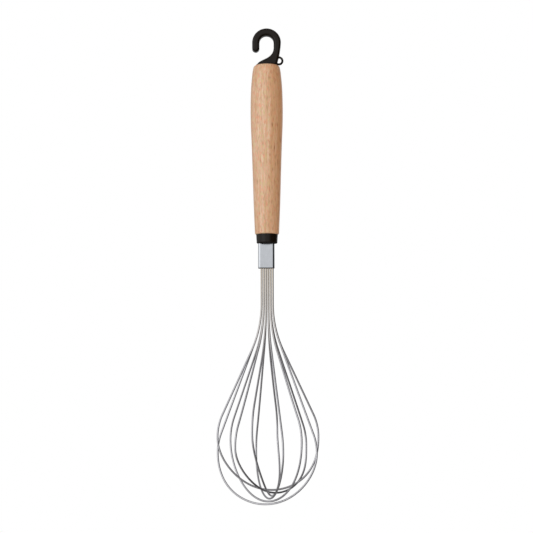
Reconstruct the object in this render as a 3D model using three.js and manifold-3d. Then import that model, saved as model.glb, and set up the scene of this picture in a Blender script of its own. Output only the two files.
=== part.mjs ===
// Wooden balloon whisk, hanging by its hook. Millimetres, +Z up, seen from the front along +Y.
// The origin is the highest point inside the hook's bow, where a rail bears on it.
import * as THREE from 'three';
import { mergeVertices } from 'three/addons/utils/BufferGeometryUtils.js';
import Module from 'manifold-3d';

const wasm = await Module();
wasm.setup();

// Gaps between pieces that are fitted into each other
const FIT = 0.3;
const WIRE_CLEAR = 0.15;

// Wire loops
const LOOP_COUNT = 6;
const WIRE_D = 1.2;
const STRAND_GAP = 0.21;
const NEST_GAP = 0.55;
const CROWN_R = 32;
const NECK_R = 69;
const NECK_LENGTH = 22;
const BALLOON_LENGTH = 145.75;
const TAIL_LENGTH = 26;
// How each hand-set loop differs: its turn in degrees, its strays to the side at the belly and at
// the crown, and how deep its crown hangs below the widest place
const TURN_STRAY = [2, 1.5, 0, -1, -1.5, 2];
const BELLY_STRAY = [-0.5, -1.5, 1, -1.5, 2.5, 0.5];
const CROWN_STRAY = [-2, -0.5, 0.5, 3, 6, 3];
const CROWN_DROP = [31.5, 37, 28.5, 39, 28.5, 32.5];

// Steel sleeve round the two rows of strands, which fill it to the right
const SLEEVE_LENGTH = 15.75;
const SLEEVE_WALL = 0.5;
const SLEEVE_CLEAR = 0.5;
const SLEEVE_SHIFT = 0.45;
const SLEEVE_CORNER = 1.5;
const MOUTH_EDGE = 0.15;

// Collar between sleeve and handle
const COLLAR_SHOWN = 5.55;
const COLLAR_RIM = 1.18;
const COLLAR_TAPER = 0.3;
const COLLAR_EDGE = 0.6;
const SPIGOT_WALL = 0.6;
const SPIGOT_LENGTH = 8;

// Turned handle: stations are shares of its length and of its greatest radius
const HANDLE_LENGTH = 107.4;
const HANDLE_D = 20.3;
const HANDLE_STATIONS = [
  [0.01, 0.745], [0.19, 0.823], [0.37, 0.88], [0.54, 0.94], [0.65, 0.988],
  [0.75, 1], [0.86, 0.97], [0.95, 0.89], [0.984, 0.83],
];
const HANDLE_FOOT_FLAT = 0.65;
const HANDLE_HEAD_FLAT = 0.68;
const HANDLE_HEAD_CORNER = 0.8;
const BOND_LENGTH = 30;
const DRILL_POINT = THREE.MathUtils.degToRad(31);

// Hanging hook with foot, peg and eyelet
const HOOK_GAP = 9;
const HOOK_BAR = 4.6;
const HOOK_DEPTH = 6;
const HOOK_EDGE = 1.6;
const HOOK_RISE = 19.35;
const TIP_RUN = 3.6;
const STEM_RUN = 3.5;
const STEM_LEAN = 2.8;
const STEM_BEND = 0.4;
const STEM_BEND_RISE = 7.85;
const SWEEP_PULL = 0.3;
const SWEEP_RISE = 3.95;
const TOE_INSET = 0.6;
const TOE_PULL = 1.9;
const TOE_RISE = 4.45;
const FOOT_R = 6.7;
const FOOT_RIM = 0.75;
const FOOT_DOME = 1.4;
const PEG_R = 3.1;
const PEG_LENGTH = 14;
const BARB_COUNT = 4;
const BARB_HEIGHT = 0.45;
const EYE_HOLE = 3.1;
const EYE_BAR = 1.4;
const EYE_OFFSET = 7.8;
const EYE_RISE = 0.35;

// Fineness of the faceted solids
const WIRE_SIDES = 8;
const WIRE_STEPS = 72;
const TURN_SEGMENTS = 32;
const CURVE_SEGMENTS = 6;
const STATION_SEGMENTS = 3;
const EYE_SIDES = 8;
const EYE_SEGMENTS = 20;
const BEVEL_SEGMENTS = 3;
const ARC_SAMPLES = 600;

// Heights along the axis
const handleTop = -HOOK_RISE;
const handleFoot = handleTop - HANDLE_LENGTH;
const collarFoot = handleFoot - COLLAR_SHOWN;
const sleeveFoot = collarFoot - SLEEVE_LENGTH;
const spigotTop = handleFoot + SPIGOT_LENGTH;
const tailTop = handleFoot + TAIL_LENGTH;
const neckTop = sleeveFoot - NECK_LENGTH;
const lowestCrown = sleeveFoot - BALLOON_LENGTH;

// Sizes that follow from the wires
const wireR = WIRE_D / 2;
const pitch = WIRE_D + STRAND_GAP;
const nestStep = WIRE_D + NEST_GAP;
const packWidth = (LOOP_COUNT - 1) * pitch + WIRE_D;
const packDepth = pitch + WIRE_D;
const slotWidth = packWidth + 2 * WIRE_CLEAR;
const slotDepth = packDepth + 2 * WIRE_CLEAR;
const cavityWidth = packWidth + 2 * SLEEVE_CLEAR;
const cavityDepth = packDepth + 2 * SLEEVE_CLEAR;
const cavityCorner = Math.max(SLEEVE_CORNER - SLEEVE_WALL, WIRE_CLEAR);
const sleeveWidth = cavityWidth + 2 * SLEEVE_WALL;
const sleeveDepth = cavityDepth + 2 * SLEEVE_WALL;
const spigotR = Math.hypot(slotWidth, slotDepth) / 2 + SPIGOT_WALL;
const boreR = spigotR + FIT;
const collarR = Math.hypot(sleeveWidth, sleeveDepth) / 2 + COLLAR_RIM;
const handleR = Math.max(HANDLE_D / 2, (boreR + SPIGOT_WALL) / HANDLE_FOOT_FLAT);
const headBoreR = PEG_R + BARB_HEIGHT + FIT;

// The neck's bend has to fit above the highest of the crowns
const ofLoop = (values, number) => values[number % values.length];
const crownCentre = (number) => lowestCrown + number * nestStep + ofLoop(CROWN_DROP, number);
const centres = Array.from({ length: LOOP_COUNT }, (_, number) => crownCentre(number));
const crownFall = neckTop - Math.max(...centres);
const neckR = Math.min(NECK_R, (crownFall ** 2 / CROWN_R - CROWN_R) / 2);

// A three.js geometry as a solid for cutting and joining
function solidOf(geometry) {
  const bare = geometry.clone();
  bare.deleteAttribute('normal');
  bare.deleteAttribute('uv');
  const welded = mergeVertices(bare);
  const corners = welded.index.array;
  const kept = [];
  for (let i = 0; i < corners.length; i += 3) {
    const [a, b, c] = [corners[i], corners[i + 1], corners[i + 2]];
    if (a !== b && b !== c && c !== a) kept.push(a, b, c);
  }
  const vertProperties = Float32Array.from(welded.attributes.position.array);
  return new wasm.Manifold(new wasm.Mesh({ numProp: 3, vertProperties, triVerts: Uint32Array.from(kept) }));
}

function geometryOf(solid) {
  const mesh = solid.getMesh();
  const geometry = new THREE.BufferGeometry();
  geometry.setAttribute('position', new THREE.BufferAttribute(Float32Array.from(mesh.vertProperties), 3));
  geometry.setIndex(new THREE.BufferAttribute(Uint32Array.from(mesh.triVerts), 1));
  geometry.computeVertexNormals();
  return geometry;
}

// A turned body from a closed half outline of [radius, height] points that starts and ends on the axis
function turned(points) {
  const lathe = new THREE.LatheGeometry(points, TURN_SEGMENTS);
  return lathe.rotateX(Math.PI / 2);
}

function roundedRectangle(width, depth, corner) {
  const shape = new THREE.Shape();
  const [x, y] = [width / 2, depth / 2];
  shape.moveTo(corner - x, -y);
  shape.lineTo(x - corner, -y);
  shape.absarc(x - corner, corner - y, corner, -Math.PI / 2, 0, false);
  shape.lineTo(x, y - corner);
  shape.absarc(x - corner, y - corner, corner, 0, Math.PI / 2, false);
  shape.lineTo(corner - x, y);
  shape.absarc(corner - x, y - corner, corner, Math.PI / 2, Math.PI, false);
  shape.lineTo(-x, corner - y);
  shape.absarc(corner - x, corner - y, corner, Math.PI, 1.5 * Math.PI, false);
  return shape;
}

// An upright prism of a flat shape between two heights
function prism(shape, bottom, top) {
  const body = new THREE.ExtrudeGeometry(shape, {
    depth: top - bottom, bevelEnabled: false, curveSegments: STATION_SEGMENTS,
  });
  return body.translate(0, 0, bottom);
}

// One loop: straight tail, neck bend, straight flare and round crown, then the same back up
class LoopPath extends THREE.Curve {
  constructor(number) {
    super();
    const stray = THREE.MathUtils.degToRad(ofLoop(TURN_STRAY, number));
    const turn = ((number + 0.5) / LOOP_COUNT) * Math.PI + stray;
    this.away = new THREE.Vector2(Math.cos(turn), -Math.sin(turn));
    this.across = new THREE.Vector2(Math.sin(turn), Math.cos(turn));
    this.seat = new THREE.Vector2(((LOOP_COUNT - 1) / 2 - number) * pitch, -pitch / 2);
    this.inset = this.seat.dot(this.away);
    this.aside = this.seat.dot(this.across);
    this.belly = ofLoop(BELLY_STRAY, number);
    this.crown = ofLoop(CROWN_STRAY, number);
    this.drop = ofLoop(CROWN_DROP, number);
    this.centre = crownCentre(number);
    // The flare is the line that touches the neck's circle and the crown's circle between them
    const [apart, down, radii] = [this.inset + neckR, neckTop - this.centre, CROWN_R + neckR];
    this.flare = Math.sqrt(Math.max(apart ** 2 + down ** 2 - radii ** 2, 0));
    this.angle = Math.atan2(down, apart) - Math.atan2(this.flare, radii);
    this.tail = tailTop - neckTop;
    this.bend = neckR * this.angle;
    this.half = this.tail + this.bend + this.flare + CROWN_R * (this.angle + Math.PI / 2);
    this.arcLengthDivisions = ARC_SAMPLES;
  }

  // Place of the strand at a distance from its cut end, on the front half of the loop
  strand(distance) {
    const past = distance - this.tail;
    if (past <= 0) return new THREE.Vector3(this.seat.x, this.seat.y, tailTop - distance);
    const left = this.bend + this.flare - past;
    const fade = 1 - THREE.MathUtils.smoothstep(past, 0, this.bend + this.flare);
    let [out, height] = [0, 0];
    if (past <= this.bend) {
      const angle = past / neckR;
      out = this.inset + neckR * (1 - Math.cos(angle));
      height = neckTop - neckR * Math.sin(angle);
    } else if (left >= 0) {
      out = CROWN_R * Math.cos(this.angle) - left * Math.sin(this.angle);
      height = this.centre + CROWN_R * Math.sin(this.angle) + left * Math.cos(this.angle);
    } else {
      const angle = this.angle + left / CROWN_R;
      out = CROWN_R * Math.cos(angle);
      height = this.centre + (angle > 0 ? CROWN_R : this.drop) * Math.sin(angle);
    }
    const place = this.away.clone().multiplyScalar(out).addScaledVector(this.across, this.aside * fade);
    return new THREE.Vector3(place.x, place.y, height);
  }

  // How far the whole loop stands to the side at a height
  stray(height) {
    const sunk = THREE.MathUtils.smoothstep(neckTop - height, 0, neckTop - this.centre);
    const low = THREE.MathUtils.smoothstep(this.centre - height, 0, this.drop);
    return this.belly * sunk + (this.crown - this.belly) * low;
  }

  getPoint(t, target = new THREE.Vector3()) {
    const side = t <= 0.5 ? 1 : -1;
    const point = this.strand(this.half * (1 - Math.abs(2 * t - 1)));
    return target.set(side * point.x + this.stray(point.z), side * point.y, point.z);
  }
}

function wireLoop(number) {
  const section = [];
  for (let i = 0; i < WIRE_SIDES; i += 1) {
    const angle = ((i + 0.5) / WIRE_SIDES) * 2 * Math.PI;
    section.push(new THREE.Vector2(wireR * Math.cos(angle), wireR * Math.sin(angle)));
  }
  return new THREE.ExtrudeGeometry(new THREE.Shape(section), {
    steps: WIRE_STEPS, bevelEnabled: false, extrudePath: new LoopPath(number),
  });
}

function wireSleeve() {
  const shape = roundedRectangle(sleeveWidth, sleeveDepth, SLEEVE_CORNER);
  shape.holes.push(roundedRectangle(cavityWidth, cavityDepth, cavityCorner));
  const body = new THREE.ExtrudeGeometry(shape, {
    depth: SLEEVE_LENGTH - 2 * MOUTH_EDGE,
    bevelEnabled: true,
    bevelSize: MOUTH_EDGE,
    bevelThickness: MOUTH_EDGE,
    bevelOffset: -MOUTH_EDGE,
    bevelSegments: 1,
    curveSegments: STATION_SEGMENTS,
  });
  return body.translate(-SLEEVE_SHIFT, 0, sleeveFoot + MOUTH_EDGE);
}

function collar() {
  const outline = new THREE.Path();
  outline.moveTo(0, collarFoot);
  outline.lineTo(collarR - COLLAR_TAPER - COLLAR_EDGE, collarFoot);
  outline.quadraticCurveTo(
    collarR - COLLAR_TAPER, collarFoot, collarR - COLLAR_TAPER, collarFoot + COLLAR_EDGE,
  );
  outline.lineTo(collarR, handleFoot);
  outline.lineTo(spigotR, handleFoot);
  outline.lineTo(spigotR, spigotTop);
  outline.lineTo(0, spigotTop);
  const slot = roundedRectangle(slotWidth, slotDepth, wireR);
  const body = solidOf(turned(outline.getPoints(STATION_SEGMENTS)))
    .subtract(solidOf(prism(slot, collarFoot - FIT, spigotTop + FIT)));
  return geometryOf(body);
}

function bondPlug() {
  const plugTop = spigotTop + BOND_LENGTH;
  const plug = new THREE.CylinderGeometry(spigotR, spigotR, BOND_LENGTH, TURN_SEGMENTS);
  plug.rotateX(Math.PI / 2).translate(0, 0, (spigotTop + plugTop) / 2);
  const slot = roundedRectangle(slotWidth, slotDepth, wireR);
  const pocket = prism(slot, spigotTop - FIT, tailTop + FIT);
  return geometryOf(solidOf(plug).subtract(solidOf(pocket)));
}

function handle() {
  const boreTop = spigotTop + BOND_LENGTH + FIT;
  const headBore = handleTop - PEG_LENGTH - FIT;
  const stations = HANDLE_STATIONS.map(
    ([along, share]) => new THREE.Vector2(handleR * share, handleFoot + HANDLE_LENGTH * along),
  );
  const outline = new THREE.Path();
  outline.moveTo(0, boreTop + boreR * Math.tan(DRILL_POINT));
  outline.lineTo(boreR, boreTop);
  outline.lineTo(boreR, handleFoot);
  outline.lineTo(handleR * HANDLE_FOOT_FLAT, handleFoot);
  outline.quadraticCurveTo(stations[0].x, handleFoot, stations[0].x, stations[0].y);
  outline.splineThru(stations.slice(1));
  outline.quadraticCurveTo(handleR * HANDLE_HEAD_CORNER, handleTop, handleR * HANDLE_HEAD_FLAT, handleTop);
  outline.lineTo(headBoreR, handleTop);
  outline.lineTo(headBoreR, headBore);
  outline.lineTo(0, headBore - headBoreR * Math.tan(DRILL_POINT));
  return turned(outline.getPoints(STATION_SEGMENTS));
}

// The bow, tip, stem and sweeping toe as one flat outline with rounded edges
function hookBow() {
  const inner = HOOK_GAP / 2;
  const outer = inner + HOOK_BAR;
  const tip = -inner - TIP_RUN;
  const below = handleTop - 2 * HOOK_EDGE - FOOT_RIM;
  const toe = TOE_INSET - FOOT_R;
  const shape = new THREE.Shape();
  shape.moveTo(toe, below);
  shape.lineTo(toe, handleTop + FOOT_RIM);
  shape.bezierCurveTo(
    toe + TOE_PULL, handleTop + TOE_RISE, inner - SWEEP_PULL, handleTop + SWEEP_RISE, inner, -inner - STEM_RUN,
  );
  shape.lineTo(inner, -inner);
  shape.absarc(0, -inner, inner, 0, Math.PI, false);
  shape.lineTo(-inner, tip);
  shape.absarc(-inner - HOOK_BAR / 2, tip, HOOK_BAR / 2, 0, Math.PI, true);
  shape.lineTo(-outer, -inner);
  shape.absarc(0, -inner, outer, Math.PI, 0, true);
  shape.quadraticCurveTo(outer - STEM_BEND, handleTop + STEM_BEND_RISE, outer - STEM_LEAN, handleTop);
  shape.lineTo(outer - STEM_LEAN, below);
  const body = new THREE.ExtrudeGeometry(shape, {
    depth: HOOK_DEPTH - 2 * HOOK_EDGE,
    bevelEnabled: true,
    bevelSize: HOOK_EDGE,
    bevelThickness: HOOK_EDGE,
    bevelOffset: -HOOK_EDGE,
    bevelSegments: BEVEL_SEGMENTS,
    curveSegments: CURVE_SEGMENTS,
  });
  return body.translate(0, 0, HOOK_EDGE - HOOK_DEPTH / 2).rotateX(Math.PI / 2);
}

function hookFoot() {
  const outline = new THREE.Path();
  const pegFoot = handleTop - PEG_LENGTH;
  const barbStep = PEG_LENGTH / (BARB_COUNT + 1);
  outline.moveTo(0, pegFoot);
  outline.lineTo(PEG_R - BARB_HEIGHT, pegFoot);
  for (let i = 1; i <= BARB_COUNT; i += 1) {
    outline.lineTo(PEG_R + BARB_HEIGHT, pegFoot + i * barbStep);
    outline.lineTo(PEG_R - BARB_HEIGHT, pegFoot + i * barbStep);
  }
  outline.lineTo(PEG_R - BARB_HEIGHT, handleTop);
  outline.lineTo(FOOT_R, handleTop);
  outline.lineTo(FOOT_R, handleTop + FOOT_RIM);
  outline.quadraticCurveTo(FOOT_R / 2, handleTop + FOOT_DOME, 0, handleTop + FOOT_DOME);
  return turned(outline.getPoints(STATION_SEGMENTS));
}

function hangingHook() {
  const room = 2 * (HOOK_RISE + HOOK_BAR);
  const above = new THREE.BoxGeometry(room, room, room).translate(0, 0, handleTop + room / 2);
  const eyeR = (EYE_HOLE + EYE_BAR) / 2;
  const eye = new THREE.TorusGeometry(eyeR, EYE_BAR / 2, EYE_SIDES, EYE_SEGMENTS);
  eye.rotateX(Math.PI / 2).translate(EYE_OFFSET, 0, handleTop + EYE_RISE + eyeR + EYE_BAR / 2);
  const body = solidOf(hookBow())
    .intersect(solidOf(above))
    .add(solidOf(hookFoot()))
    .add(solidOf(eye));
  return geometryOf(body);
}

const BEECH = { color: 0xcba381, roughness: 0.55, metalness: 0 };
const BLACK_MOULDING = { color: 0x2a2623, roughness: 0.5, metalness: 0 };
const BRIGHT_STEEL = { color: 0xc2c5ca, roughness: 0.25, metalness: 1 };
const CURED_BOND = { color: 0xd8cfae, roughness: 0.6, metalness: 0 };

function piece(name, geometry, finish) {
  const mesh = new THREE.Mesh(geometry, new THREE.MeshStandardMaterial(finish));
  mesh.name = name;
  return mesh;
}

const whisk = new THREE.Group();
whisk.name = 'whisk';
whisk.add(piece('hanging_hook', hangingHook(), BLACK_MOULDING));
whisk.add(piece('handle', handle(), BEECH));
whisk.add(piece('collar', collar(), BLACK_MOULDING));
whisk.add(piece('bond_plug', bondPlug(), CURED_BOND));
whisk.add(piece('wire_sleeve', wireSleeve(), BRIGHT_STEEL));
for (let number = 0; number < LOOP_COUNT; number += 1) {
  whisk.add(piece(`wire_loop_${number + 1}`, wireLoop(number), BRIGHT_STEEL));
}

export default whisk;
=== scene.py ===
"""Looks and studio of the wooden balloon whisk, built round its packed solids."""
import functools
import math

import bmesh
import bpy
from mathutils import Matrix, Quaternion, Vector


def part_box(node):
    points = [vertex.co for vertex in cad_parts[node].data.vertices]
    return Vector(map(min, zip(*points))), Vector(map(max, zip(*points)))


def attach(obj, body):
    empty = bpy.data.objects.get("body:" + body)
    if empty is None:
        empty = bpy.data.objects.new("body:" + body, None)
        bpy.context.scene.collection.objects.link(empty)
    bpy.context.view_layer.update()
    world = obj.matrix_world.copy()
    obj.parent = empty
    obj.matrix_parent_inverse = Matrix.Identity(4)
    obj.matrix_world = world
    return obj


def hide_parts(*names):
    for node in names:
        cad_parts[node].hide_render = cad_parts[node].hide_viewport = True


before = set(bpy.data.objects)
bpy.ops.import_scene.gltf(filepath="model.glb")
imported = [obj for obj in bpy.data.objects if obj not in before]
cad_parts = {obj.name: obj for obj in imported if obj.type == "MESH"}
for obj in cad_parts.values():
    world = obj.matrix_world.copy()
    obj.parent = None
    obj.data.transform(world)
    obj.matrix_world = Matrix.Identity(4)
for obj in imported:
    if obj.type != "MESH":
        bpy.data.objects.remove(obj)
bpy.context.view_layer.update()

bl_info = {
    "name": "Wooden balloon whisk",
    "version": (1, 0, 0),
    "blender": (4, 5, 0),
    "location": "View3D > Sidebar > Whisk",
    "description": "Builds the beech handle, moulded hook, steel wires and studio of a balloon whisk",
    "category": "Object",
}

MM = 0.001
# Edges that turn by more than this stay crisp
CRISP = math.radians(35)
# Points closer than this are one
MERGE = 0.001 * MM
HANDLE_LOW, HANDLE_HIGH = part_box("handle")
COLLAR_LOW, COLLAR_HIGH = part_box("collar")
SLEEVE_LOW, SLEEVE_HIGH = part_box("wire_sleeve")
LOOPS = sorted(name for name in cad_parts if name.startswith("wire_loop_"))


def linear(code):
    """Linear red, green, blue and alpha of an sRGB hex colour."""
    shares = [int(code[i:i + 2], 16) / 255 for i in (0, 2, 4)]
    return [s / 12.92 if s <= 0.04045 else ((s + 0.055) / 1.055) ** 2.4 for s in shares] + [1.0]


size = functools.partial(bpy.props.FloatProperty, unit="LENGTH", precision=5)
share = functools.partial(bpy.props.FloatProperty, subtype="FACTOR", min=0.0)
colour = functools.partial(bpy.props.FloatVectorProperty, subtype="COLOR", size=4, min=0.0, max=1.0)
each = functools.partial(bpy.props.FloatVectorProperty, size=len(LOOPS))


class WhiskWires(bpy.types.PropertyGroup):
    """Sizes of the wire loops"""
    diameter: size(name="Wire diameter", description="Thickness of the drawn wire", default=1.2 * MM)
    strand_gap: size(name="Strand gap", description="Gap between strands in the sleeve", default=0.21 * MM)
    nest_gap: size(name="Nest gap", description="Gap between crossing crowns", default=0.55 * MM)
    crown_radius: size(name="Crown radius", description="Radius of a loop's round end", default=32 * MM)
    neck_radius: size(name="Neck radius", description="Radius of the bend below the neck", default=69 * MM)
    neck: size(name="Neck length", description="Straight strands below the sleeve", default=22 * MM)
    balloon: size(name="Balloon length", description="From the sleeve's mouth to the lowest crown",
                  default=145.75 * MM)
    tail: size(name="Tail length", description="Length of the strands inside the handle", default=26 * MM)
    turn_stray: each(name="Turn strays", description="How far each loop is turned from its even place",
                     subtype="EULER", default=[math.radians(x) for x in (2, 1.5, 0, -1, -1.5, 2)])
    belly_stray: each(name="Belly strays", description="Sideways stray of each loop at its widest",
                      unit="LENGTH", default=[x * MM for x in (-0.5, -1.5, 1, -1.5, 2.5, 0.5)])
    crown_stray: each(name="Crown strays", description="Sideways stray of each loop at its crown",
                      unit="LENGTH", default=[x * MM for x in (-2, -0.5, 0.5, 3, 6, 3)])
    crown_drop: each(name="Crown drops", description="Depth of each crown below the loop's widest place",
                     unit="LENGTH", default=[x * MM for x in (31.5, 37, 28.5, 39, 28.5, 32.5)])
    step: size(name="Step", description="Spacing of the rings along a wire", default=0.8 * MM)
    sides: bpy.props.IntProperty(name="Sides", description="Facets round a wire", default=20, min=6)


class WhiskSleeve(bpy.types.PropertyGroup):
    """Sizes of the steel sleeve"""
    width: size(name="Width", description="Outside width", default=SLEEVE_HIGH.x - SLEEVE_LOW.x)
    depth: size(name="Depth", description="Outside depth", default=SLEEVE_HIGH.y - SLEEVE_LOW.y)
    shift: size(name="Shift", description="How far it sits off the axis",
                default=(SLEEVE_HIGH.x + SLEEVE_LOW.x) / 2)
    wall: size(name="Wall", description="Thickness of the sheet", default=0.5 * MM)
    corner: size(name="Corner", description="Radius of the upright corners", default=1.5 * MM)
    mouth_edge: size(name="Mouth edge", description="Rounding of the two mouths", default=0.24 * MM)


class WhiskCollar(bpy.types.PropertyGroup):
    """Sizes of the collar"""
    radius: size(name="Radius", description="Radius under the handle", default=COLLAR_HIGH.x)
    taper: size(name="Taper", description="How much the radius shrinks to the foot", default=0.3 * MM)
    edge: size(name="Edge", description="Rounding of the foot", default=0.6 * MM)
    spigot_radius: size(name="Spigot radius", description="Part in the handle's bore", default=5.116 * MM)
    slot_width: size(name="Slot width", description="Width of the slot for the strands", default=8.55 * MM)
    slot_depth: size(name="Slot depth", description="Depth of the slot for the strands", default=2.91 * MM)
    slot_corner: size(name="Slot corner", description="Rounding of the slot's corners", default=0.6 * MM)


class WhiskHandle(bpy.types.PropertyGroup):
    """Sizes of the turned handle"""
    radius: size(name="Radius", description="Greatest radius", default=HANDLE_HIGH.x)
    foot_flat: share(name="Foot flat", description="Flat at the foot, share of the radius", default=0.65)
    head_flat: share(name="Head flat", description="Flat at the head, share of the radius", default=0.68)
    head_corner: share(name="Head corner", description="Pull of the head's rounding", default=0.8)
    foot_bore: size(name="Foot bore", description="Radius of the bore for the bond", default=5.416 * MM)
    foot_bore_depth: size(name="Foot bore depth", description="Depth of that bore", default=38.3 * MM)
    head_bore: size(name="Head bore", description="Radius of the hole for the peg", default=3.85 * MM)
    head_bore_depth: size(name="Head bore depth", description="Depth of that hole", default=14.3 * MM)
    drill: bpy.props.FloatProperty(name="Drill slope", description="Slope of the cone that a drill leaves",
                                   subtype="ANGLE", default=math.radians(31))


class WhiskHook(bpy.types.PropertyGroup):
    """Sizes of the hanging hook"""
    gap: size(name="Gap", description="Inside width of the bow", default=9 * MM)
    bar: size(name="Bar", description="Width of the bar seen from the front", default=4.6 * MM)
    depth: size(name="Depth", description="Thickness from front to back", default=6 * MM)
    edge: size(name="Edge", description="Rounding of the bar's edges", default=1.6 * MM)
    tip_run: size(name="Tip run", description="Straight run down to the tip", default=3.6 * MM)
    stem_run: size(name="Stem run", description="Straight run of the stem's inner side", default=3.5 * MM)
    stem_lean: size(name="Stem lean", description="How far the stem leans in at its foot", default=2.8 * MM)
    stem_bend: size(name="Stem bend", description="Sideways pull of the stem's outer side",
                    default=0.4 * MM)
    stem_bend_rise: size(name="Stem bend rise", description="Height of that pull", default=7.85 * MM)
    sweep_pull: size(name="Sweep pull", description="Sideways pull of the sweep", default=0.3 * MM)
    sweep_rise: size(name="Sweep rise", description="Height of the sweep's pull", default=3.95 * MM)
    toe_inset: size(name="Toe inset", description="Inset of the toe from the foot's rim", default=0.6 * MM)
    toe_pull: size(name="Toe pull", description="Sideways pull of the toe's rounding", default=1.9 * MM)
    toe_rise: size(name="Toe rise", description="Height of that pull", default=4.45 * MM)
    foot_radius: size(name="Foot radius", description="Radius of the round foot", default=6.7 * MM)
    foot_rim: size(name="Foot rim", description="Height of the foot's rim", default=0.75 * MM)
    foot_dome: size(name="Foot dome", description="Height of the foot's dome", default=1.4 * MM)
    peg_radius: size(name="Peg radius", description="Mean radius of the barbed peg", default=3.1 * MM)
    peg_length: size(name="Peg length", description="Length of the peg in the handle", default=14 * MM)
    barbs: bpy.props.IntProperty(name="Barbs", description="Number of barbs on the peg", default=4, min=1)
    barb: size(name="Barb", description="Height of a barb", default=0.45 * MM)
    eye_hole: size(name="Eyelet hole", description="Hole of the eyelet", default=3.1 * MM)
    eye_bar: size(name="Eyelet bar", description="Thickness of the eyelet's bar", default=1.4 * MM)
    eye_offset: size(name="Eyelet offset", description="From the axis to the eyelet", default=7.8 * MM)
    eye_rise: size(name="Eyelet rise", description="Eyelet's height over the wood", default=0.35 * MM)
    cut: size(name="Cut", description="Height over the wood where the bow ends in the foot", default=0.2 * MM)
    grain: size(name="Mesh grain", description="Cell of the smooth moulded mesh", default=0.18 * MM)
    fillet_pull: share(name="Fillet pull", description="Pull of one round of smoothing", default=0.5)
    fillet_rounds: bpy.props.IntProperty(name="Fillet rounds", description="Rounds of smoothing", default=6,
                                         min=0)


class WhiskFinishes(bpy.types.PropertyGroup):
    """Colours of the finishes"""
    beech_light: colour(name="Beech", description="Most of the wood", default=linear("deb898"))
    beech_pale: colour(name="Beech, pale", description="Early wood", default=linear("ecd2b6"))
    beech_dark: colour(name="Beech, dark", description="Late wood", default=linear("cb966c"))
    beech_heart: colour(name="Beech, heart", description="Redder wood at one side",
                        default=linear("c98b58"))
    beech_pink: colour(name="Beech, pink", description="Pinker patches", default=linear("e39c76"))
    beech_straw: colour(name="Beech, straw", description="Straw patches", default=linear("d3bb7e"))
    beech_fleck: colour(name="Beech flecks", description="Rays and pores", default=linear("96592f"))
    moulding: colour(name="Moulding", description="Hook and collar", default=linear("150d05"))
    sheet_steel: colour(name="Sheet steel", description="Sleeve", default=linear("d6d8dc"))
    # Painted shade along the sleeve's mouth, standing in for its shadow, not a colour of the steel
    painted_mouth_shade: colour(name="Painted mouth shade", description="Rim of the sleeve's mouth", default=linear("3c3c3e"))
    wire_steel: colour(name="Wire steel", description="Loops", default=linear("cecccf"))
    wire_straw: colour(name="Wire, straw", description="Heat tint of the strands at the sleeve",
                       default=linear("d4c9bb"))
    bond: colour(name="Bond", description="Cured plug inside the handle", default=linear("d8cfae"))
    floor: colour(name="Floor", description="Painted board under the whisk", default=linear("f7f7f6"))


class WhiskStudio(bpy.types.PropertyGroup):
    """Camera and lights"""
    elevation: bpy.props.FloatProperty(name="Elevation", description="Camera's height angle",
                                       subtype="ANGLE", default=math.radians(-5.37))
    distance: size(name="Distance", description="From the camera to its target", default=0.88844)
    lens: bpy.props.FloatProperty(name="Lens", description="Focal length in millimetres", default=96.01,
                                  unit="CAMERA")
    target: bpy.props.FloatVectorProperty(name="Target", description="Point in the middle of the picture",
                                          size=3, subtype="TRANSLATION", default=(-0.000375, 0.0, -0.14685))
    lean: bpy.props.FloatProperty(name="Lean", description="Turn of the camera about its line of sight",
                                  subtype="ANGLE", default=math.radians(-0.15))
    floor_height: size(name="Floor height", description="Height of the floor", default=-0.45)
    floor_radius: size(name="Floor radius", description="Radius of the round floor", default=1.3)
    lamp_width: size(name="Lamp width", description="Width of each soft light", default=0.9)
    lamp_height: size(name="Lamp height", description="Height of each soft light", default=1.5)
    key: bpy.props.FloatProperty(name="Key light", description="Power of the large light at the left",
                                 default=5.9, unit="POWER")
    fill: bpy.props.FloatProperty(name="Fill light", description="Power of the right and the back light",
                                  default=6.9, unit="POWER")


# Mesh helpers

def smooth_share(value, low, high):
    """Smooth step from 0 at low to 1 at high."""
    part = min(max((value - low) / (high - low), 0.0), 1.0)
    return part * part * (3.0 - 2.0 * part)


def arc(centre, radius, start, end, steps=24):
    """Points of a circular arc, ends included."""
    turns = [start + (end - start) * i / steps for i in range(steps + 1)]
    return [(centre[0] + radius * math.cos(t), centre[1] + radius * math.sin(t)) for t in turns]


def bend(*points, steps=16):
    """Points, without the first, of a curve from the first to the last, pulled by the ones between."""
    made = []
    top = len(points) - 1
    for i in range(1, steps + 1):
        t = i / steps
        weights = [math.comb(top, n) * t ** n * (1 - t) ** (top - n) for n in range(top + 1)]
        made.append(tuple(sum(w * p[k] for w, p in zip(weights, points)) for k in (0, 1)))
    return made


def spline(points, steps=10):
    """Points of a smooth curve through the given ones, without the first."""
    made = []
    for i in range(len(points) - 1):
        before, a, b = points[max(i - 1, 0)], points[i], points[i + 1]
        after = points[min(i + 2, len(points) - 1)]
        for s in range(1, steps + 1):
            t = s / steps
            made.append(tuple(
                (2 * a[k] - 2 * b[k] + (b[k] - before[k]) / 2 + (after[k] - a[k]) / 2) * t ** 3
                + (-3 * a[k] + 3 * b[k] - (b[k] - before[k]) - (after[k] - a[k]) / 2) * t ** 2
                + (b[k] - before[k]) / 2 * t + a[k] for k in (0, 1)))
    return made


def rounded_rectangle(width, depth, corner, steps=8):
    """Points round a rectangle with rounded corners, anticlockwise."""
    x, y = width / 2 - corner, depth / 2 - corner
    made = []
    for quarter, (sx, sy) in enumerate(((1, 1), (-1, 1), (-1, -1), (1, -1))):
        start = quarter * math.pi / 2
        made += arc((sx * x, sy * y), corner, start, start + math.pi / 2, steps=steps)
    return made


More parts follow.
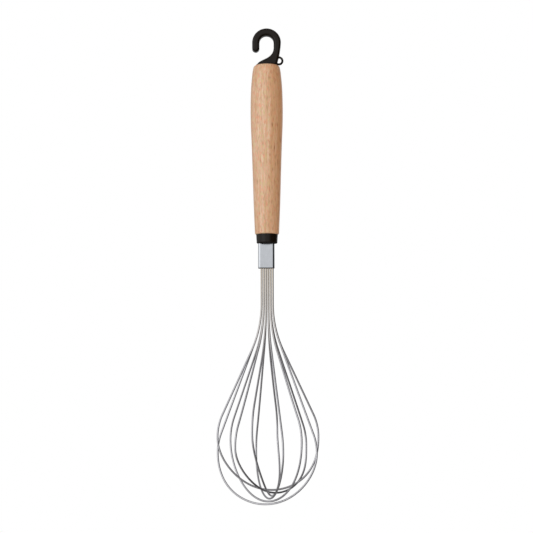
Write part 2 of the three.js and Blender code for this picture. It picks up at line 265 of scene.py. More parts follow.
def shell(name, rings, cyclic):
    """A closed skin over rings of points; a ring of one point closes an end."""
    bm = bmesh.new()
    rows = [[bm.verts.new(p) for p in ring] for ring in rings]
    pairs = list(zip(rows, rows[1:])) + ([(rows[-1], rows[0])] if cyclic else [])
    for a, b in pairs:
        count = max(len(a), len(b))
        for i in range(count):
            j = (i + 1) % count
            corners = [a[i % len(a)], a[j % len(a)], b[j % len(b)], b[i % len(b)]]
            bm.faces.new(list(dict.fromkeys(corners)))
    bmesh.ops.recalc_face_normals(bm, faces=bm.faces)
    mesh = bpy.data.meshes.new(name)
    bm.to_mesh(mesh)
    bm.free()
    mesh.shade_smooth()
    return mesh


def turned(name, outline, segments=128, cyclic=False):
    """A body turned on the upright axis from points of radius and height."""
    turns = [math.tau * i / segments for i in range(segments)]
    rings = [[(r * math.cos(t), r * math.sin(t), h) for t in turns] if r > 0 else [(0.0, 0.0, h)]
             for r, h in outline]
    return shell(name, rings, cyclic)


def hold(name, data):
    """A new object at the scene's origin."""
    holder = bpy.data.objects.new(name, data)
    bpy.context.scene.collection.objects.link(holder)
    return holder


def baked(holder):
    """The plain mesh that an object and its modifiers give; the object is removed."""
    mesh = bpy.data.meshes.new_from_object(holder.evaluated_get(bpy.context.evaluated_depsgraph_get()))
    bpy.data.objects.remove(holder)
    if not mesh.polygons:
        raise RuntimeError(f"{mesh.name} has no faces")
    return mesh


def put(name, mesh, finish, slot, *nodes):
    """Puts a finished mesh on the whisk's one body, in place of its CAD nodes."""
    mesh.name = name
    mesh.materials.clear()
    mesh.materials.append(finish)
    piece = hold(name, mesh)
    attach(piece, "root")
    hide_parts(*nodes)


# Materials

def add(tree, kind, settings=None, links=None):
    """Adds a node, sets its properties and open inputs, and links its other inputs."""
    made = tree.nodes.new(kind)
    for key, value in (settings or {}).items():
        if isinstance(key, int) or key[0].isupper():
            made.inputs[key].default_value = value
        else:
            setattr(made, key, value)
    for key, source in (links or {}).items():
        tree.links.new(source, made.inputs[key])
    return made


def blank_material(name):
    """An empty node material and its tree."""
    material = bpy.data.materials.new(name)
    material.use_nodes = True
    material.node_tree.nodes.clear()
    return material, material.node_tree


def beech(finishes):
    """Beech, turned, sanded and oiled: peach, redder to one side, finely streaked and flecked, satin."""
    material, tree = blank_material("oiled beech")
    place = add(tree, "ShaderNodeTexCoord").outputs["Object"]
    # Width and length of the growth rings, of finer streaks in them, of short pinker and straw patches,
    # and of the fibres, which are really 0.02 mm wide and are drawn 0.5 mm wide so that they show
    figures = {"rings": (2.4 * MM, 60 * MM), "streaks": (0.8 * MM, 14 * MM),
               "patches": (0.8 * MM, 2.4 * MM), "fibres": (0.5 * MM, 4 * MM)}
    grain = {}
    for name, (wide, tall) in figures.items():
        lay = add(tree, "ShaderNodeMapping", {"Scale": (1 / wide, 1 / wide, 1 / tall)}, {"Vector": place})
        grain[name] = add(tree, "ShaderNodeTexNoise", {"Scale": 1.0, "Detail": 2.0},
                          {"Vector": lay.outputs[0]}).outputs[0]
    # Redder heartwood towards one side, with a wandering edge
    across = add(tree, "ShaderNodeSeparateXYZ", links={0: place}).outputs[0]
    edge = add(tree, "ShaderNodeMath", {"operation": "MULTIPLY_ADD", 1: 10 * MM},
               {0: grain["rings"], 2: across}).outputs[0]
    heart = add(tree, "ShaderNodeMapRange", {"From Min": 3 * MM, "From Max": 11 * MM},
                {"Value": edge}).outputs[0]
    # Ray flecks 0.5 mm wide and 2.5 mm long, in some of the cells of 1.8 by 8 mm, most in the heartwood
    lay = add(tree, "ShaderNodeMapping", {"Scale": (1 / (1.8 * MM), 1 / (1.8 * MM), 1 / (8 * MM))},
              {"Vector": place})
    cells = add(tree, "ShaderNodeTexVoronoi", {"Scale": 1.0}, {"Vector": lay.outputs[0]}).outputs
    lot = add(tree, "ShaderNodeSeparateXYZ", links={0: cells["Color"]}).outputs[0]
    chosen = add(tree, "ShaderNodeMapRange", {"From Min": 0.3, "From Max": 0.6}, {"Value": lot}).outputs[0]
    dense = add(tree, "ShaderNodeMapRange", {"From Min": 0.1, "From Max": 0.8, "To Min": 0.1},
                {"Value": heart}).outputs[0]
    flecks = add(tree, "ShaderNodeMapRange", {
        "From Min": 0.1, "From Max": 0.24, "To Min": 0.85, "To Max": 0.0},
        {"Value": cells["Distance"]}).outputs[0]
    for part in (chosen, dense):
        flecks = add(tree, "ShaderNodeMath", {"operation": "MULTIPLY"}, {0: flecks, 1: part}).outputs[0]
    # Figure of each tint over the plain wood, where the tint starts and is full, and how much it covers
    tints = ((grain["rings"], 0.38, 0.7, 0.6, finishes.beech_dark),
             (grain["streaks"], 0.52, 0.7, 0.6, finishes.beech_dark),
             (grain["streaks"], 0.47, 0.3, 0.55, finishes.beech_pale),
             (grain["patches"], 0.5, 0.68, 0.85, finishes.beech_pink),
             (grain["patches"], 0.48, 0.32, 0.7, finishes.beech_straw),
             (heart, 0.0, 1.0, 0.6, finishes.beech_heart),
             (grain["fibres"], 0.52, 0.72, 0.5, finishes.beech_fleck),
             (flecks, 0.0, 1.0, 1.0, finishes.beech_fleck))
    under = {}
    for figure, start, full, cover, tint in tints:
        part = add(tree, "ShaderNodeMapRange", {"From Min": start, "From Max": full, "To Max": cover},
                   {"Value": figure}).outputs[0]
        wood = add(tree, "ShaderNodeMix", {"data_type": "RGBA", 6: finishes.beech_light, 7: tint},
                   {0: part, **under}).outputs[2]
        under = {6: wood}
    sheen = add(tree, "ShaderNodeMapRange", {
        "From Min": 0.3, "From Max": 0.7, "To Min": 0.28, "To Max": 0.4},
        {"Value": grain["fibres"]}).outputs[0]
    relief = add(tree, "ShaderNodeBump", {"Strength": 0.35, "Distance": 0.04 * MM},
                 {"Height": grain["fibres"]}).outputs[0]
    surface = add(tree, "ShaderNodeBsdfPrincipled", {"IOR": 1.45, "Specular IOR Level": 0.8}, {
        "Base Color": wood, "Roughness": sheen, "Normal": relief}).outputs[0]
    add(tree, "ShaderNodeOutputMaterial", links={"Surface": surface})
    return material


def moulded_polypropylene(finishes):
    """Polypropylene from a spark-eroded mould: black, finely matt, with a broad soft highlight."""
    material, tree = blank_material("moulded polypropylene")
    place = add(tree, "ShaderNodeTexCoord").outputs["Object"]
    # Spark pits, really 0.05 mm, drawn 0.3 mm across so that they show
    pits = add(tree, "ShaderNodeTexNoise", {"Scale": 1 / (0.3 * MM), "Detail": 2.0},
               {"Vector": place}).outputs[0]
    # Flow of the melt, patches about 6 mm across
    flow = add(tree, "ShaderNodeTexNoise", {"Scale": 1 / (6 * MM), "Detail": 1.0},
               {"Vector": place}).outputs[0]
    shade = add(tree, "ShaderNodeMapRange", {"To Min": 0.8, "To Max": 1.2}, {"Value": flow}).outputs[0]
    tone = add(tree, "ShaderNodeHueSaturation", {"Color": finishes.moulding}, {"Value": shade}).outputs[0]
    polish = add(tree, "ShaderNodeMapRange", {"To Min": 0.22, "To Max": 0.36}, {"Value": pits}).outputs[0]
    # The mould's floor is left rough, so the lowest 0.8 mm of the collar is dull
    height = add(tree, "ShaderNodeSeparateXYZ", links={0: place}).outputs[2]
    dull = add(tree, "ShaderNodeMapRange", {
        "From Min": COLLAR_LOW.z + 0.2 * MM, "From Max": COLLAR_LOW.z + 0.8 * MM,
        "To Min": 0.9, "To Max": 0.0}, {"Value": height}).outputs[0]
    sheen = add(tree, "ShaderNodeMath", {"operation": "MAXIMUM"}, {0: polish, 1: dull}).outputs[0]
    relief = add(tree, "ShaderNodeBump", {"Strength": 0.15, "Distance": 0.03 * MM},
                 {"Height": pits}).outputs[0]
    surface = add(tree, "ShaderNodeBsdfPrincipled", {"IOR": 1.49, "Specular IOR Level": 0.3}, {
        "Base Color": tone, "Roughness": sheen, "Normal": relief}).outputs[0]
    add(tree, "ShaderNodeOutputMaterial", links={"Surface": surface})
    return material


def pressed_stainless(finishes):
    """Stainless sheet, pressed and finely brushed along the sleeve: cool grey with a soft gloss."""
    material, tree = blank_material("pressed stainless")
    place = add(tree, "ShaderNodeTexCoord").outputs["Object"]
    # Brush lines, really 0.02 mm apart, drawn 0.2 mm apart and 12 mm long so that they show
    lay = add(tree, "ShaderNodeMapping", {"Scale": (1 / (0.2 * MM), 1 / (0.2 * MM), 1 / (12 * MM))},
              {"Vector": place}).outputs[0]
    lines = add(tree, "ShaderNodeTexNoise", {"Scale": 1.0, "Detail": 3.0}, {"Vector": lay}).outputs[0]
    # Handling marks, patches about 3 mm across
    marks = add(tree, "ShaderNodeTexNoise", {"Scale": 1 / (3 * MM), "Detail": 3.0},
                {"Vector": place}).outputs[0]
    shade = add(tree, "ShaderNodeMapRange", {"To Min": 0.92, "To Max": 1.08}, {"Value": marks}).outputs[0]
    steel = add(tree, "ShaderNodeHueSaturation", {"Color": finishes.sheet_steel},
                {"Value": shade}).outputs[0]
    # Painted shade at the mouth, dark, about 0.5 mm high: the sleeve's shadow and dark cavity painted onto
    # the steel
    height = add(tree, "ShaderNodeSeparateXYZ", links={0: place}).outputs[2]
    rim = add(tree, "ShaderNodeMapRange", {
        "From Min": SLEEVE_LOW.z + 0.15 * MM, "From Max": SLEEVE_LOW.z + 0.55 * MM,
        "To Min": 1.0, "To Max": 0.0}, {"Value": height}).outputs[0]
    tone = add(tree, "ShaderNodeMix", {"data_type": "RGBA", 7: finishes.painted_mouth_shade},
               {0: rim, 6: steel}).outputs[2]
    sheen = add(tree, "ShaderNodeMapRange", {"To Min": 0.12, "To Max": 0.26}, {"Value": lines}).outputs[0]
    relief = add(tree, "ShaderNodeBump", {"Strength": 0.15, "Distance": 0.02 * MM},
                 {"Height": lines}).outputs[0]
    surface = add(tree, "ShaderNodeBsdfPrincipled", {"Metallic": 1.0}, {
        "Base Color": tone, "Roughness": sheen, "Normal": relief}).outputs[0]
    add(tree, "ShaderNodeOutputMaterial", links={"Surface": surface})
    return material


def drawn_stainless(finishes):
    """Stainless wire drawn through a die: bright, with fine lines along the wire."""
    material, tree = blank_material("drawn stainless wire")
    wire_lay = add(tree, "ShaderNodeAttribute", {"attribute_name": "wire_lay"}).outputs["Vector"]
    # Die lines, really 0.02 mm apart, drawn 0.15 mm apart and 40 mm long so that they show
    lay = add(tree, "ShaderNodeMapping", {"Scale": (1 / (0.15 * MM), 1 / (0.15 * MM), 1 / (40 * MM))},
              {"Vector": wire_lay}).outputs[0]
    lines = add(tree, "ShaderNodeTexNoise", {"Scale": 1.0, "Detail": 2.0}, {"Vector": lay}).outputs[0]
    # Slow change of tone along the wire, every 25 mm or so
    lay = add(tree, "ShaderNodeMapping", {"Scale": (0, 0, 1 / (25 * MM))}, {"Vector": wire_lay}).outputs[0]
    drift = add(tree, "ShaderNodeTexNoise", {"Scale": 1.0, "Detail": 2.0}, {"Vector": lay}).outputs[0]
    shade = add(tree, "ShaderNodeMapRange", {"To Min": 0.85, "To Max": 1.15}, {"Value": drift}).outputs[0]
    # Faint straw tint of heat within 60 mm of the sleeve
    place = add(tree, "ShaderNodeTexCoord").outputs["Object"]
    height = add(tree, "ShaderNodeSeparateXYZ", links={0: place}).outputs[2]
    heat = add(tree, "ShaderNodeMapRange", {
        "From Min": SLEEVE_LOW.z - 60 * MM, "From Max": SLEEVE_LOW.z}, {"Value": height}).outputs[0]
    steel = add(tree, "ShaderNodeMix", {
        "data_type": "RGBA", 6: finishes.wire_steel, 7: finishes.wire_straw}, {0: heat}).outputs[2]
    tone = add(tree, "ShaderNodeHueSaturation", links={"Color": steel, "Value": shade}).outputs[0]
    sheen = add(tree, "ShaderNodeMapRange", {"To Min": 0.06, "To Max": 0.12}, {"Value": lines}).outputs[0]
    relief = add(tree, "ShaderNodeBump", {"Strength": 0.03, "Distance": 0.01 * MM},
                 {"Height": lines}).outputs[0]
    surface = add(tree, "ShaderNodeBsdfPrincipled", {"Metallic": 1.0}, {
        "Base Color": tone, "Roughness": sheen, "Normal": relief}).outputs[0]
    add(tree, "ShaderNodeOutputMaterial", links={"Surface": surface})
    return material


def cured_epoxy(finishes):
    """Poured epoxy: pale amber, glossy, with small bubbles under the skin."""
    material, tree = blank_material("cured epoxy")
    place = add(tree, "ShaderNodeTexCoord").outputs["Object"]
    # Bubbles 0.8 mm apart
    cells = add(tree, "ShaderNodeTexVoronoi", {"Scale": 1 / (0.8 * MM)}, {"Vector": place}).outputs
    shade = add(tree, "ShaderNodeMapRange", {"From Max": 0.5, "To Min": 1.15, "To Max": 0.95},
                {"Value": cells["Distance"]}).outputs[0]
    tone = add(tree, "ShaderNodeHueSaturation", {"Color": finishes.bond}, {"Value": shade}).outputs[0]
    sheen = add(tree, "ShaderNodeMapRange", {"From Max": 0.6, "To Min": 0.45, "To Max": 0.2},
                {"Value": cells["Distance"]}).outputs[0]
    surface = add(tree, "ShaderNodeBsdfPrincipled", {"IOR": 1.55}, {
        "Base Color": tone, "Roughness": sheen}).outputs[0]
    add(tree, "ShaderNodeOutputMaterial", links={"Surface": surface})
    return material


def painted_board(finishes):
    """Board painted matt white: even and pale, with a trace of roller texture."""
    material, tree = blank_material("painted board")
    place = add(tree, "ShaderNodeTexCoord").outputs["Object"]
    # Roller texture, 2 mm across
    roller = add(tree, "ShaderNodeTexNoise", {"Scale": 1 / (2 * MM), "Detail": 2.0},
                 {"Vector": place}).outputs[0]
    sheen = add(tree, "ShaderNodeMapRange", {"To Min": 0.8, "To Max": 0.95}, {"Value": roller}).outputs[0]
    surface = add(tree, "ShaderNodeBsdfPrincipled", {
        "Base Color": finishes.floor, "Specular IOR Level": 0.1}, {"Roughness": sheen}).outputs[0]
    add(tree, "ShaderNodeOutputMaterial", links={"Surface": surface})
    return material


def finish_named(name, maker):
    """The material of that name, made at its first use."""
    return bpy.data.materials.get(name) or maker(bpy.context.scene.whisk_finishes)


# Wires

def loop_path(wires, number):
    """Centreline of one loop: straight tail, neck bend, straight flare, round crown, and back up."""
    count = len(LOOPS)
    turn = (number + 0.5) / count * math.pi + wires.turn_stray[number]
    away = Vector((math.cos(turn), -math.sin(turn)))
    across = Vector((math.sin(turn), math.cos(turn)))
    pitch = wires.diameter + wires.strand_gap
    seat = Vector((((count - 1) / 2 - number) * pitch, -pitch / 2))
    inset, aside = seat.dot(away), seat.dot(across)
    crown, neck, drop = wires.crown_radius, wires.neck_radius, wires.crown_drop[number]
    tail_top, neck_top = HANDLE_LOW.z + wires.tail, SLEEVE_LOW.z - wires.neck
    centre = SLEEVE_LOW.z - wires.balloon + number * (wires.diameter + wires.nest_gap) + drop
    # The flare is the line that touches the neck's circle and the crown's circle between them
    apart, down, radii = inset + neck, neck_top - centre, crown + neck
    flare = math.sqrt(apart ** 2 + down ** 2 - radii ** 2)
    angle = math.atan2(down, apart) - math.atan2(flare, radii)
    rise, run = math.sin(angle), math.cos(angle)
    tail, curve = tail_top - neck_top, neck * angle
    half = tail + curve + flare + crown * (angle + math.pi / 2)
    belly, low = wires.belly_stray[number], wires.crown_stray[number]

    def strand(distance):
        """Place that far down the strand from its upper end, before the loop's strays."""
        past = distance - tail
        if past <= 0:
            return *seat, tail_top - distance
        fade = 1 - smooth_share(past, 0.0, curve + flare)
        left = curve + flare - past
        if past <= curve:
            out = inset + neck * (1 - math.cos(past / neck))
            height = neck_top - neck * math.sin(past / neck)
        elif left >= 0:
            out, height = crown * run - left * rise, centre + crown * rise + left * run
        else:
            low_angle = angle + left / crown
            out = crown * math.cos(low_angle)
            height = centre + (crown if low_angle > 0 else drop) * math.sin(low_angle)
        return *(away * out + across * aside * fade), height

    steps = round(half / wires.step)
    points = []
    for i in range(-steps, steps + 1):
        side = 1 if i <= 0 else -1
        x, y, height = strand(half * (1 - abs(i) / steps))
        stray = belly * smooth_share(neck_top - height, 0.0, neck_top - centre)
        stray += (low - belly) * smooth_share(centre - height, 0.0, drop)
        points.append((side * x + stray, side * y, height))
    return points


def wire_tree():
    """Node tree that draws a round wire along a path and keeps its lay for the finish."""
    tree = bpy.data.node_groups.new("Wire along a path", "GeometryNodeTree")
    inputs = {"Path": "Geometry", "Wire diameter": "Float", "Step": "Float", "Sides": "Int",
              "Finish": "Material"}
    for name, kind in inputs.items():
        tree.interface.new_socket(name, in_out="INPUT", socket_type=f"NodeSocket{kind}")
    tree.interface.new_socket("Wire", in_out="OUTPUT", socket_type="NodeSocketGeometry")
    given = add(tree, "NodeGroupInput").outputs
    path = add(tree, "GeometryNodeMeshToCurve", links={"Mesh": given["Path"]}).outputs[0]
    path = add(tree, "GeometryNodeResampleCurve", {"mode": "LENGTH"},
               {"Curve": path, "Length": given["Step"]}).outputs[0]
    radius = add(tree, "ShaderNodeMath", {"operation": "DIVIDE", 1: 2.0},
                 {0: given["Wire diameter"]}).outputs[0]
    ring = add(tree, "GeometryNodeCurvePrimitiveCircle",
               links={"Resolution": given["Sides"], "Radius": radius}).outputs[0]
    along = add(tree, "GeometryNodeCaptureAttribute")
    along.capture_items.new("FLOAT", "Along")
    tree.links.new(path, along.inputs[0])
    tree.links.new(add(tree, "GeometryNodeSplineParameter").outputs["Length"], along.inputs[1])
    about = add(tree, "GeometryNodeCaptureAttribute")
    about.capture_items.new("VECTOR", "About")
    tree.links.new(ring, about.inputs[0])
    tree.links.new(add(tree, "GeometryNodeInputPosition").outputs[0], about.inputs[1])
    wire = add(tree, "GeometryNodeCurveToMesh", {"Fill Caps": True},
               {"Curve": along.outputs[0], "Profile Curve": about.outputs[0]}).outputs[0]
    parts = add(tree, "ShaderNodeSeparateXYZ", links={0: about.outputs[1]}).outputs
    lay = add(tree, "ShaderNodeCombineXYZ",
              links={0: parts[0], 1: parts[1], 2: along.outputs[1]}).outputs[0]
    wire = add(tree, "GeometryNodeStoreNamedAttribute", {
        "data_type": "FLOAT_VECTOR", "domain": "POINT", "Name": "wire_lay"},
        {"Geometry": wire, "Value": lay}).outputs[0]
    wire = add(tree, "GeometryNodeSetShadeSmooth", links={"Geometry": wire}).outputs[0]
    wire = add(tree, "GeometryNodeRealizeInstances", links={"Geometry": wire}).outputs[0]
    wire = add(tree, "GeometryNodeSetMaterial",
               links={"Geometry": wire, "Material": given["Finish"]}).outputs[0]
    add(tree, "NodeGroupOutput", links={"Wire": wire})
    return tree


class WHISK_OT_wires(bpy.types.Operator):
    """Draw the nested wire loops from the sleeve to their crowns"""
    bl_idname = "whisk.wires"
    bl_label = "Wire loops"

    def execute(self, context):
        wires = context.scene.whisk_wires
        finish = finish_named("drawn stainless wire", drawn_stainless)
        tree = wire_tree()
        sockets = {s.name: s.identifier for s in tree.interface.items_tree if s.in_out == "INPUT"}
        for number, node in enumerate(LOOPS):
            points = loop_path(wires, number)
            line = bpy.data.meshes.new(node)
            line.from_pydata(points, [(i, i + 1) for i in range(len(points) - 1)], [])
            holder = hold(f"{node}_path", line)
            sweep = holder.modifiers.new("Wire", "NODES")
            sweep.node_group = tree
            sweep[sockets["Wire diameter"]] = wires.diameter
            sweep[sockets["Step"]] = wires.step
            sweep[sockets["Sides"]] = wires.sides
            sweep[sockets["Finish"]] = finish
            put(f"drawn_loop_{number + 1}", baked(holder), finish, "steel_wire", node)
        return {"FINISHED"}


class WHISK_OT_sleeve(bpy.types.Operator):
    """Press the flattened steel sleeve that holds the strands"""
    bl_idname = "whisk.sleeve"
    bl_label = "Steel sleeve"

    def execute(self, context):
        sleeve = context.scene.whisk_sleeve
        low, high, edge = SLEEVE_LOW.z, SLEEVE_HIGH.z, sleeve.mouth_edge
        # Insets from the outside and heights, up the outside and down the cavity
        outside = arc((edge, low + edge), edge, 1.5 * math.pi, math.pi, steps=5)
        outside += arc((edge, high - edge), edge, math.pi, 0.5 * math.pi, steps=5)
        inside = [(sleeve.wall - inset, height) for inset, height in reversed(outside)]
        rings = []
        for inset, height in outside + inside:
            wide, deep = sleeve.width - 2 * inset, sleeve.depth - 2 * inset
            ring = rounded_rectangle(wide, deep, sleeve.corner - inset)
            rings.append([(x + sleeve.shift, y, height) for x, y in ring])
        mesh = shell("pressed_sleeve", rings, cyclic=True)
        mesh.set_sharp_from_angle(angle=CRISP)
        put("pressed_sleeve", mesh, finish_named("pressed stainless", pressed_stainless),
            "pressed_steel", "wire_sleeve")
        return {"FINISHED"}


class WHISK_OT_collar(bpy.types.Operator):
    """Mould the collar between the sleeve and the handle"""
    bl_idname = "whisk.collar"
    bl_label = "Collar"

    def execute(self, context):
        collar = context.scene.whisk_collar
        low, ledge, high = COLLAR_LOW.z, HANDLE_LOW.z, COLLAR_HIGH.z
        foot = collar.radius - collar.taper
        outline = [(0.0, low), (foot - collar.edge, low)]
        outline += bend(outline[-1], (foot, low), (foot, low + collar.edge), steps=8)
        outline += [(collar.radius, ledge), (collar.spigot_radius, ledge), (collar.spigot_radius, high)]
        outline.append((0.0, high))
        body = hold("collar_body", turned("collar_body", outline))
        # The slot's cutter runs 1 mm past both ends
        foot_end, head_end = low - MM, high + MM
        opening = rounded_rectangle(collar.slot_width, collar.slot_depth, collar.slot_corner)
        rings = [[(x, y, height) for x, y in opening] for height in (foot_end, head_end)]
        rings = [[(0.0, 0.0, foot_end)], *rings, [(0.0, 0.0, head_end)]]
        slot = hold("collar_slot", shell("collar_slot", rings, cyclic=False))
        cut = body.modifiers.new("Slot", "BOOLEAN")
        cut.operation, cut.solver, cut.object = "DIFFERENCE", "EXACT", slot
        mesh = baked(body)
        bpy.data.objects.remove(slot)
        mesh.shade_smooth()
        mesh.set_sharp_from_angle(angle=CRISP)
        put("moulded_collar", mesh, finish_named("moulded polypropylene", moulded_polypropylene),
            "black_moulding", "collar")
        return {"FINISHED"}


class WHISK_OT_handle(bpy.types.Operator):
    """Turn the beech handle with its two bores"""
    bl_idname = "whisk.handle"
    bl_label = "Beech handle"
    # Share of the length from the foot and share of the greatest radius
    stations = ((0.01, 0.745), (0.19, 0.823), (0.37, 0.88), (0.54, 0.94), (0.65, 0.988),
                (0.75, 1.0), (0.86, 0.97), (0.95, 0.89), (0.984, 0.83))

    def execute(self, context):
        handle = context.scene.whisk_handle
        foot, head, radius = HANDLE_LOW.z, HANDLE_HIGH.z, handle.radius
        drill = math.tan(handle.drill)
        side = [(radius * wide, foot + (head - foot) * along) for along, wide in self.stations]
        bore_top, bore_foot = foot + handle.foot_bore_depth, head - handle.head_bore_depth
        outline = [(0.0, bore_top + handle.foot_bore * drill), (handle.foot_bore, bore_top),
                   (handle.foot_bore, foot), (radius * handle.foot_flat, foot)]
        outline += bend(outline[-1], (side[0][0], foot), side[0], steps=8)
        outline += spline(side)
        outline += bend(side[-1], (radius * handle.head_corner, head),
                        (radius * handle.head_flat, head), steps=10)
        outline += [(handle.head_bore, head), (handle.head_bore, bore_foot),
                    (0.0, bore_foot - handle.head_bore * drill)]
        mesh = turned("turned_handle", outline)
        mesh.set_sharp_from_angle(angle=CRISP)
        put("turned_handle", mesh, finish_named("oiled beech", beech), "beech", "handle")
        return {"FINISHED"}


class WHISK_OT_hook(bpy.types.Operator):
    """Mould the hanging hook with its foot, barbed peg and eyelet in one piece"""
    bl_idname = "whisk.hook"
    bl_label = "Hanging hook"

    def bow(self, hook, top):
        """Bow, tip, stem and sweep as a plate with rounded edges, cut off in the foot."""
        inner = hook.gap / 2
        outer, tip = inner + hook.bar, -inner - hook.tip_run
        below = top - 2 * hook.edge - hook.foot_rim
        toe = hook.toe_inset - hook.foot_radius
        outline = [(toe, below), (toe, top + hook.foot_rim)]
        outline += bend(outline[-1], (toe + hook.toe_pull, top + hook.toe_rise),
                        (inner - hook.sweep_pull, top + hook.sweep_rise), (inner, -inner - hook.stem_run))
        outline += arc((0.0, -inner), inner, 0.0, math.pi, steps=36)
        outline += arc((-inner - hook.bar / 2, tip), hook.bar / 2, 0.0, -math.pi)
        outline += arc((0.0, -inner), outer, math.pi, 0.0, steps=48)
        outline += bend(outline[-1], (outer - hook.stem_bend, top + hook.stem_bend_rise),
                        (outer - hook.stem_lean, top))
        outline.append((outer - hook.stem_lean, below))
        plate = bpy.data.curves.new("hook_bow", "CURVE")
        plate.dimensions, plate.fill_mode = "2D", "BOTH"
        plate.extrude, plate.offset = hook.depth / 2 - hook.edge, -hook.edge
        plate.bevel_depth, plate.bevel_resolution = hook.edge, 6
        path = plate.splines.new("POLY")
        path.points.add(len(outline) - 1)
        for point, (x, z) in zip(path.points, outline):
            point.co = (x, z, 0.0, 1.0)
        path.use_cyclic_u = True
        mesh = baked(hold("hook_bow", plate))
        mesh.transform(Matrix.Rotation(math.pi / 2, 4, "X"))
        bm = bmesh.new()
        bm.from_mesh(mesh)
        bmesh.ops.remove_doubles(bm, verts=bm.verts, dist=MERGE)
        bmesh.ops.bisect_plane(bm, geom=[*bm.verts, *bm.edges, *bm.faces], plane_no=(0, 0, 1),
                               plane_co=(0, 0, top + hook.cut), clear_inner=True)
        bmesh.ops.holes_fill(bm, edges=[e for e in bm.edges if e.is_boundary], sides=0)
        bm.to_mesh(mesh)
        bm.free()
        return mesh

    def foot(self, hook, top):
        """Round foot on the wood and the barbed peg under it."""
        peg = top - hook.peg_length
        step = hook.peg_length / (hook.barbs + 1)
        slim, wide = hook.peg_radius - hook.barb, hook.peg_radius + hook.barb
        outline = [(0.0, peg), (slim, peg)]
        for i in range(1, hook.barbs + 1):
            outline += [(wide, peg + i * step), (slim, peg + i * step)]
        outline += [(slim, top), (hook.foot_radius, top), (hook.foot_radius, top + hook.foot_rim)]
        dome = top + hook.foot_dome
        outline += bend(outline[-1], (hook.foot_radius / 2, dome), (0.0, dome))
        return turned("hook_foot", outline, segments=96)

    def eyelet(self, hook, top):
        """Small ring on the side of the stem."""
        middle = (hook.eye_hole + hook.eye_bar) / 2
        section = arc((middle, 0.0), hook.eye_bar / 2, 0.0, math.tau)[:-1]
        mesh = turned("hook_eyelet", section, segments=64, cyclic=True)
        height = top + hook.eye_rise + middle + hook.eye_bar / 2
        upright = Matrix.Rotation(math.pi / 2, 4, "X")
        mesh.transform(Matrix.Translation((hook.eye_offset, 0.0, height)) @ upright)
        return mesh

    def execute(self, context):
        hook, top = context.scene.whisk_hook, HANDLE_HIGH.z
        bm = bmesh.new()
        for shape in (self.bow, self.foot, self.eyelet):
            bm.from_mesh(shape(hook, top))
        joined = bpy.data.meshes.new("moulded_hook")
        bm.to_mesh(joined)
        bm.free()
        holder = hold("hook_shapes", joined)
        # One skin over the shapes, then smoothing for the fillets of the mould
        skin = holder.modifiers.new("Skin", "REMESH")
        skin.mode, skin.voxel_size = "VOXEL", hook.grain
        fillets = holder.modifiers.new("Fillets", "SMOOTH")
        fillets.factor, fillets.iterations = hook.fillet_pull, hook.fillet_rounds
        mesh = baked(holder)
        mesh.shade_smooth()
        put("moulded_hook", mesh, finish_named("moulded polypropylene", moulded_polypropylene),
            "black_moulding", "hanging_hook")
        return {"FINISHED"}


class WHISK_OT_bond(bpy.types.Operator):
    """Give the hidden bond plug its cured finish"""
    bl_idname = "whisk.bond"
    bl_label = "Bond plug"

    def execute(self, context):
        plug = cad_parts["bond_plug"]
        plug.data.materials.clear()
        plug.data.materials.append(finish_named("cured epoxy", cured_epoxy))
        return {"FINISHED"}


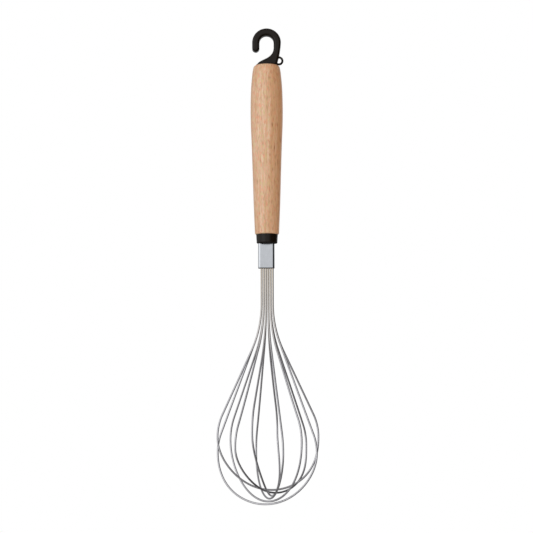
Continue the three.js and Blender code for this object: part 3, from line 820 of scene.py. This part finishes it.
class WHISK_OT_stage(bpy.types.Operator):
    """Set the floor, the soft lights, the surroundings and the camera"""
    bl_idname = "whisk.stage"
    bl_label = "Studio"
    # Brightness of the room's walls by degrees from the front, right of it above zero, and their tint
    walls = ((-180, 0.45), (-150, 0.35), (-125, 0.35), (-100, 0.85), (-62, 0.85), (-55, 1.4), (-26, 1.4),
             (-16, 0.68), (0, 0.8), (18, 0.8), (30, 0.3), (40, 0.03), (125, 0.03), (142, 0.6), (180, 0.45))
    tint = (0.97, 0.985, 1.0)
    ceiling = (0.3, 0.3, 0.3, 1.0)
    ground = (0.1, 0.095, 0.09, 1.0)
    backdrop = (1.0, 1.0, 1.0, 1.0)
    # Place of each soft light
    lamps = {"key": (-0.95, -0.95, 0.35), "fill": (1.1, -0.75, 0.15), "back": (0.4, 1.3, 0.35)}

    def light(self, studio, name, power):
        """A rectangular soft light that faces the whisk and leaves reflections to the walls."""
        place, target = Vector(self.lamps[name]), Vector(studio.target)
        data = bpy.data.lights.new(name, "AREA")
        data.shape, data.energy = "RECTANGLE", power
        data.size, data.size_y = studio.lamp_width, studio.lamp_height
        lamp = hold(name, data)
        lamp.location = place
        lamp.rotation_euler = (target - place).to_track_quat("-Z", "Y").to_euler()
        lamp.visible_glossy = False

    def surroundings(self, scene):
        """White to the camera; for light and reflections a bright left, grey front and back, dark right."""
        world = bpy.data.worlds.new("Studio")
        world.use_nodes = True
        tree = world.node_tree
        tree.nodes.clear()
        toward = add(tree, "ShaderNodeTexCoord").outputs["Generated"]
        right, back, up = add(tree, "ShaderNodeSeparateXYZ", links={0: toward}).outputs
        front = add(tree, "ShaderNodeMath", {"operation": "MULTIPLY", 1: -1.0}, {0: back}).outputs[0]
        bearing = add(tree, "ShaderNodeMath", {"operation": "ARCTAN2"}, {0: right, 1: front}).outputs[0]
        turn = add(tree, "ShaderNodeMapRange", {"From Min": -math.pi, "From Max": math.pi},
                   {"Value": bearing}).outputs[0]
        ramp = add(tree, "ShaderNodeValToRGB", links={0: turn})
        stops = ramp.color_ramp.elements
        for degrees, _ in self.walls[1:-1]:
            stops.new(0.5 + degrees / 360)
        # A stop holds 1 at most, so the ramp is scaled by the brightest wall
        brightest = max(level for _, level in self.walls)
        for stop, (_, level) in zip(stops, self.walls):
            stop.color = [level / brightest * tint for tint in self.tint] + [1.0]
        room = add(tree, "ShaderNodeVectorMath", {"operation": "SCALE", "Scale": brightest},
                   {0: ramp.outputs[0]}).outputs[0]
        above = add(tree, "ShaderNodeMapRange", {"From Min": 0.3, "From Max": 0.85, "To Max": 0.85},
                    {"Value": up}).outputs[0]
        below = add(tree, "ShaderNodeMapRange", {"From Min": -0.1, "From Max": -0.45, "To Max": 0.7},
                    {"Value": up}).outputs[0]
        seen = add(tree, "ShaderNodeLightPath").outputs["Is Camera Ray"]
        for part, tone in ((above, self.ceiling), (below, self.ground), (seen, self.backdrop)):
            room = add(tree, "ShaderNodeMix", {"data_type": "RGBA", 7: tone},
                       {0: part, 6: room}).outputs[2]
        sky = add(tree, "ShaderNodeBackground", links={"Color": room}).outputs[0]
        add(tree, "ShaderNodeOutputWorld", links={"Surface": sky})
        scene.world = world

    def execute(self, context):
        scene, studio = context.scene, context.scene.whisk_studio
        bm = bmesh.new()
        bmesh.ops.create_circle(bm, cap_ends=True, segments=96, radius=studio.floor_radius,
                                matrix=Matrix.Translation((0, 0, studio.floor_height)))
        mesh = bpy.data.meshes.new("floor")
        bm.to_mesh(mesh)
        bm.free()
        mesh.materials.append(finish_named("painted board", painted_board))
        floor = hold("floor", mesh)
        floor.visible_glossy = False

        self.light(studio, "key", studio.key)
        self.light(studio, "fill", studio.fill)
        self.light(studio, "back", studio.fill)
        self.surroundings(scene)
        scene.view_settings.view_transform = "Standard"

        back = Vector((0.0, -math.cos(studio.elevation), math.sin(studio.elevation)))
        data = bpy.data.cameras.new("camera")
        data.lens = studio.lens
        camera = hold("camera", data)
        camera.location = Vector(studio.target) + back * studio.distance
        aim = (-back).to_track_quat("-Z", "Y") @ Quaternion((0.0, 0.0, 1.0), studio.lean)
        camera.rotation_euler = aim.to_euler()
        scene.camera = camera
        return {"FINISHED"}


GROUPS = {
    "whisk_hook": WhiskHook, "whisk_handle": WhiskHandle, "whisk_collar": WhiskCollar,
    "whisk_sleeve": WhiskSleeve, "whisk_wires": WhiskWires, "whisk_finishes": WhiskFinishes,
    "whisk_studio": WhiskStudio,
}
STEPS = (WHISK_OT_hook, WHISK_OT_handle, WHISK_OT_collar, WHISK_OT_sleeve, WHISK_OT_wires, WHISK_OT_bond,
         WHISK_OT_stage)


class WHISK_PT_panel(bpy.types.Panel):
    """Lists the whisk's pieces and their sizes"""
    bl_label = "Balloon whisk"
    bl_idname = "WHISK_PT_panel"
    bl_space_type = "VIEW_3D"
    bl_region_type = "UI"
    bl_category = "Whisk"

    def draw(self, context):
        for step in STEPS:
            self.layout.operator(step.bl_idname)
        for name, group in GROUPS.items():
            box = self.layout.box()
            box.label(text=group.__doc__)
            for prop in group.__annotations__:
                box.prop(getattr(context.scene, name), prop)


CLASSES = (*GROUPS.values(), *STEPS, WHISK_PT_panel)


def register():
    for made in CLASSES:
        bpy.utils.register_class(made)
    for name, group in GROUPS.items():
        setattr(bpy.types.Scene, name, bpy.props.PointerProperty(type=group))


def unregister():
    for name in GROUPS:
        delattr(bpy.types.Scene, name)
    for made in reversed(CLASSES):
        bpy.utils.unregister_class(made)


def main():
    register()
    bpy.ops.whisk.hook()
    bpy.ops.whisk.handle()
    bpy.ops.whisk.collar()
    bpy.ops.whisk.sleeve()
    bpy.ops.whisk.wires()
    bpy.ops.whisk.bond()
    bpy.ops.whisk.stage()


if __name__ == "__main__":
    main()
